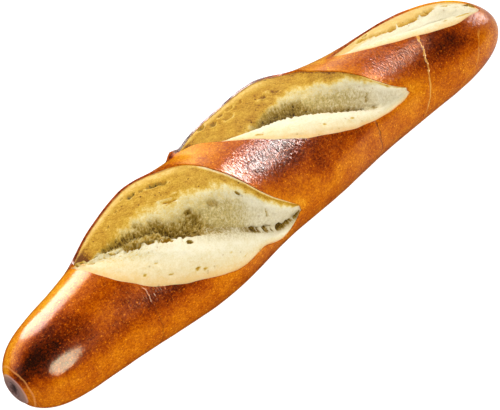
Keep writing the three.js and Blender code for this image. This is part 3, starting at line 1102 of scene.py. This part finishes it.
def crust_at(point):
    """The turn at a point, how baked its crust is with painted shade and sheen, how wrinkled and matt it is,
    and whether it is on the end disc.
    """
    half_width, half_height, middle, axis_height = section_at(point.x)
    sideways = (middle - point.y) / max(half_width, LEAST_HALF)
    upwards = (point.z - axis_height) / max(half_height, LEAST_HALF)
    turn = math.degrees(math.atan2(sideways, upwards))
    from_near_end = LENGTH / 2 + point.x
    index, distance = upper_lips.find(point)[1:]
    lip_bake, share = lip_places[index]
    dark_lip = bell(distance, 0.0, DARK_LIP["reach"])
    dark_lip *= 1 - smooth_step(DARK_LIP["fade_from"], DARK_LIP["fade_to"], share)
    pale_lip = bell(distance, 0.0, PALE_LIP["reach"])
    pale_lip *= smooth_step(PALE_LIP["fade_from"], PALE_LIP["fade_to"], share)
    off_axis = math.hypot(point.y - middle, point.z - axis_height - TIP_HOLLOW["above"])
    tip = bell(from_near_end, 0.0, TIP_SHADE["length"])
    bake_and_painted_light = BASE_BAKE + TOP_BAKE["gain"] * bell(turn, TOP_BAKE["turn"], TOP_BAKE["breadth"])
    bake_and_painted_light += PATCH_BAKE["gain"] * noise.noise(point / PATCH_BAKE["size"])
    bake_and_painted_light += zone_sum(DARK_ZONES, point.x, turn) * smooth_step(0.0, END_FADE, LENGTH / 2 - abs(point.x))
    bake_and_painted_light += lip_bake * dark_lip - PALE_LIP["gain"] * pale_lip
    # Painted shade on the low sides
    bake_and_painted_light += LOW_SIDE_SHADE * smooth_step(55, 100, abs(turn))
    # Painted sheen on the back of the top
    bake_and_painted_light -= BACK_SHEEN * smooth_step(8, 40, -turn) * smooth_step(64, 50, -turn)
    # Painted shade in the hollow at the near tip
    bake_and_painted_light += TIP_SHADE["gain"] * tip * bell(off_axis, 0.0, TIP_SHADE["reach"])
    wrinkle = min(zone_sum(WRINKLE_ZONES, point.x, turn), 1.0)
    matt = tip * bell(off_axis, 0.0, TIP_MATT_REACH) + WRINKLE_MATT * wrinkle + DARK_LIP["matt"] * dark_lip
    groove = TIP_GROOVE["from_end"]
    disc = 1 - smooth_step(groove - 0.5, groove + 0.1, from_near_end)
    return {"turn": turn, "bake_and_painted_light": bake_and_painted_light, "wrinkle": wrinkle, "matt": matt, "disc": disc}


crumb_places = kdtree.KDTree(len(crumb_points))
for index, crumb_point in enumerate(crumb_points):
    crumb_places.insert(crumb_point["place"], index)
crumb_places.balance()
CRUMB_VALUES = ("toast", "shade", "torn", "fuzz", "blush", "along", "across")
values = {name: [] for name in ("turn", "bake_and_painted_light", "wrinkle", "matt", "disc", *CRUMB_VALUES)}
for vert in stick_mesh.vertices:
    for name, value in crust_at(vert.co / METRES).items():
        values[name].append(value)
    nearest = crumb_points[crumb_places.find(vert.co)[1]]
    for name in CRUMB_VALUES:
        values[name].append(nearest[name])
for name, numbers in values.items():
    stick_mesh.attributes.new(name, "FLOAT", "POINT").data.foreach_set("value", numbers)

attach(stick, "root")
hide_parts("pretzel_stick")

# The floor: a plain pale sheet that the stick rests on, wide enough to fill the picture.
# It gives off a little light of its own, as a lit studio table does, and stays out of the crust's
# reflections.
FLOOR_HALF_SIZE = 3.0
FLOOR_LOOKS = {
    "Base Color": (0.4, 0.4, 0.4, 1),
    "Roughness": 0.7,
    "Emission Color": (1, 1, 1, 1),
    "Emission Strength": 0.62,
}
floor_shape = bmesh.new()
bmesh.ops.create_grid(floor_shape, x_segments=1, y_segments=1, size=FLOOR_HALF_SIZE)
floor_mesh = mesh_from(floor_shape, "floor")
floor = add_object("floor", floor_mesh)
floor.visible_glossy = False
floor_finish = bpy.data.materials.new("pale_floor")
floor_finish.use_nodes = True
for name, value in FLOOR_LOOKS.items():
    floor_finish.node_tree.nodes["Principled BSDF"].inputs[name].default_value = value
floor_mesh.materials.append(floor_finish)

# The light: a plain soft studio. Broad lamps above and behind light the whole stick, and small
# ones close to the crust give its glints. Round them the room is dark, with a pale wall at the
# back and a pale table beyond the far end. Places are in metres.
BACK_WALL = (0.35, 0.8, 0.0)
WALL_GLOW = 1.3
TABLE_GLOW = 0.6
ROOM_COLOUR = (1, 0.98, 0.96, 1)
EXPOSURE = 0.5
GAMMA = 0.85
MIDDLE = Vector((0, 0, 0))
NEAR_END = Vector((-0.088, -0.006, 0.024))
NEAR_TOP = Vector((-0.085, 0.003, 0.0245))
FIRST_BAND = Vector((-0.017, -0.005, 0.037))
SECOND_BAND = Vector((0.046, -0.007, 0.034))
FAR_END = Vector((0.098, 0, 0.022))
WHITE = (1, 1, 1)
CREAM = (1, 0.97, 0.82)
STRAW = (1, 0.97, 0.72)

# Lamps: what each is aimed at, the way to it from there, its distance, size, power and colour
GLINTS = [
    (MIDDLE, (0.05, 0.92, 0.37), 0.9, (0.33, 0.45), 0.6, WHITE),
    (NEAR_TOP, (0.05, 0.97, 0.22), 0.085, (0.048, 0.072), 0.05, WHITE),
    (FIRST_BAND, (0.57, 0.24, 0.79), 0.1, (0.1, 0.028), 0.25, WHITE),
    (SECOND_BAND, (0.62, 0.10, 0.78), 0.06, (0.03, 0.03), 0.021, CREAM),
    (NEAR_END, (-0.19, -0.71, 0.68), 0.055, (0.042, 0.045), 0.047, STRAW),
    (FAR_END, (0.97, 0.04, 0.23), 0.3, (0.12, 0.12), 0.36, WHITE),
]
LIGHTING = [
    (MIDDLE, (-0.05, 0.75, 0.66), 1.0, (0.7, 0.7), 4.5, WHITE),
    (MIDDLE, (-0.2, -0.45, 0.87), 1.3, (1.4, 1.4), 10.3, WHITE),
    (MIDDLE, (0.3, -0.85, 0.4), 1.2, (0.9, 0.9), 2.0, WHITE),
]

world = bpy.data.worlds.new("studio")
world.use_nodes = True
room = world.node_tree
direction = add_node(room, "TexCoord").outputs["Generated"]
parts = add_node(room, "SeparateXYZ", None, Vector=direction).outputs
towards_back = add_node(room, "VectorMath", {"operation": "DOT_PRODUCT"}, _0=direction, _1=BACK_WALL)
wall_height = multiply(room, map_range(room, parts["Z"], 0.6, 0.15), map_range(room, parts["Z"], -0.15, 0.1))
wall_glow = map_range(room, towards_back.outputs["Value"], -0.2, 0.7)
wall_glow = multiply(room, wall_glow, wall_height)
table_glow = map_range(room, parts["X"], 0.4, 0.8)
table_glow = multiply(room, table_glow, map_range(room, parts["Z"], 0.1, -0.1))
glow = map_range(room, parts["Z"], 0.0, -0.3, 0.03, 0.02)
glow = multiply_add(room, wall_glow, WALL_GLOW, glow)
glow = multiply_add(room, table_glow, TABLE_GLOW, glow)
room.nodes["Background"].inputs["Color"].default_value = ROOM_COLOUR
room.links.new(glow, room.nodes["Background"].inputs["Strength"])
bpy.context.scene.world = world

for lamp in GLINTS + LIGHTING:
    aim, towards, distance, size, power, colour = lamp
    gives_glints = lamp in GLINTS
    light = bpy.data.lights.new("lamp", "AREA")
    light.shape = "ELLIPSE"
    light.size, light.size_y = size
    light.energy = power
    light.color = colour
    lamp_object = add_object("lamp", light)
    way = Vector(towards).normalized()
    lamp_object.location = aim + way * distance
    lamp_object.rotation_euler = way.to_track_quat("Z", "Y").to_euler()
    lamp_object.visible_camera = False
    lamp_object.visible_glossy = gives_glints
    lamp_object.visible_diffuse = not gives_glints
view = bpy.context.scene.view_settings
view.view_transform = "Standard"
view.exposure = EXPOSURE
view.gamma = GAMMA

# The camera: on a stand in front of the stick, off to its near end and well above it.
# A long lens from 0.75 m away holds the whole length in the picture, corner to corner.
ELEVATION = math.radians(55)
AZIMUTH = math.radians(43.322)
CAMERA_DISTANCE = 0.75
CAMERA_TARGET = Vector((-0.007584, -0.005687, 0.017))
LENS = 175.17
SENSOR_WIDTH = 36
camera_data = bpy.data.cameras.new("camera")
camera_data.lens = LENS
camera_data.sensor_width = SENSOR_WIDTH
camera = add_object("camera", camera_data)
across_floor = math.cos(ELEVATION)
away = Vector((-math.sin(AZIMUTH) * across_floor, -math.cos(AZIMUTH) * across_floor, math.sin(ELEVATION)))
camera.location = CAMERA_TARGET + away * CAMERA_DISTANCE
camera.rotation_euler = away.to_track_quat("Z", "Y").to_euler()
bpy.context.scene.camera = camera
